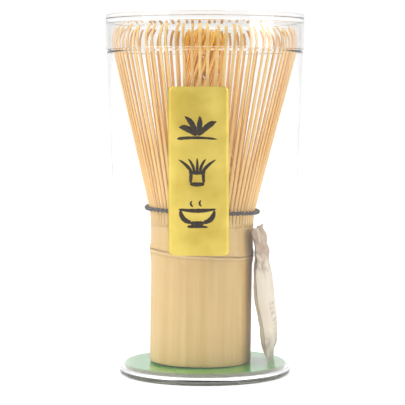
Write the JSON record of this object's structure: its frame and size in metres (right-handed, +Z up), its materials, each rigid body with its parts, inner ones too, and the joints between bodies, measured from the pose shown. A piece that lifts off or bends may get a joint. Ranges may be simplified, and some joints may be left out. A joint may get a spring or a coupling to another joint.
{
  "type": "bamboo tea whisk in a clear case",
  "caption": "Bamboo matcha whisk with split outer and inner tines bound by thread, standing in a clear round case with lid, label, green pad and drying sachet.",
  "frame": {"origin": "centre of the plane that the case stands on", "axes": "+Z up along the case's axis; the label faces the front, -Y; the sachet stands beside the handle on +X"},
  "size_m": [0.0628, 0.0628, 0.1138],
  "materials": {
    "clear_cup": "clear moulded polystyrene, polished",
    "clear_lid": "clear moulded polystyrene, polished",
    "label_paper": "gold-yellow satin paper printed with dark brush motifs",
    "green_card": "green smooth card",
    "sachet_film": "creased cream non-woven paper, heat-sealed",
    "desiccant": "translucent silica beads",
    "culm_skin": "bare dried bamboo skin, satin, fine lengthwise fibres",
    "dark_thread": "twisted dark grey cotton thread",
    "outer_tine_bamboo": "split bamboo skin, pale peach, satin",
    "inner_tine_bamboo": "split bamboo, golden brown, satin"
  },
  "bodies": {
    "case": {"case_cup": "clear_cup", "label": "label_paper", "base_pad": "green_card"},
    "sachet": {"sachet_inner_film": "sachet_film", "sachet_outer_film": "sachet_film", "desiccant_beads": "desiccant"},
    "whisk": {"handle": "culm_skin", "thread_lower_round": "dark_thread", "thread_upper_round": "dark_thread", "thread_inner_round": "dark_thread", "thread_knot": "dark_thread", "outer_stave_01": "outer_tine_bamboo", "outer_stave_02": "outer_tine_bamboo", "outer_stave_03": "outer_tine_bamboo", "outer_stave_04": "outer_tine_bamboo", "outer_stave_05": "outer_tine_bamboo", "outer_stave_06": "outer_tine_bamboo", "outer_stave_07": "outer_tine_bamboo", "outer_stave_08": "outer_tine_bamboo", "outer_stave_09": "outer_tine_bamboo", "outer_stave_10": "outer_tine_bamboo", "outer_stave_11": "outer_tine_bamboo", "outer_stave_12": "outer_tine_bamboo", "outer_stave_13": "outer_tine_bamboo", "outer_stave_14": "outer_tine_bamboo", "outer_stave_15": "outer_tine_bamboo", "outer_stave_16": "outer_tine_bamboo", "outer_stave_17": "outer_tine_bamboo", "outer_stave_18": "outer_tine_bamboo", "inner_stave_01": "inner_tine_bamboo", "inner_stave_02": "inner_tine_bamboo", "inner_stave_03": "inner_tine_bamboo", "inner_stave_04": "inner_tine_bamboo", "inner_stave_05": "inner_tine_bamboo", "inner_stave_06": "inner_tine_bamboo", "inner_stave_07": "inner_tine_bamboo", "inner_stave_08": "inner_tine_bamboo", "inner_stave_09": "inner_tine_bamboo", "inner_stave_10": "inner_tine_bamboo", "inner_stave_11": "inner_tine_bamboo", "inner_stave_12": "inner_tine_bamboo", "inner_stave_13": "inner_tine_bamboo", "inner_stave_14": "inner_tine_bamboo", "inner_stave_15": "inner_tine_bamboo", "inner_stave_16": "inner_tine_bamboo", "inner_stave_17": "inner_tine_bamboo", "inner_stave_18": "inner_tine_bamboo"},
    "lid": {"case_lid": "clear_lid"}
  },
  "joints": [
    {"name": "sachet_lift", "type": "slide", "parent": "case", "child": "sachet", "axis": [0, 0, 1], "range_m": [0, 0.115]},
    {"name": "whisk_lift", "type": "slide", "parent": "sachet", "child": "whisk", "axis": [0, 0, 1], "range_m": [0, 0.115]},
    {"name": "lid_lift", "type": "slide", "parent": "whisk", "child": "lid", "axis": [0, 0, 1], "range_m": [0, 0.04]}
  ]
}
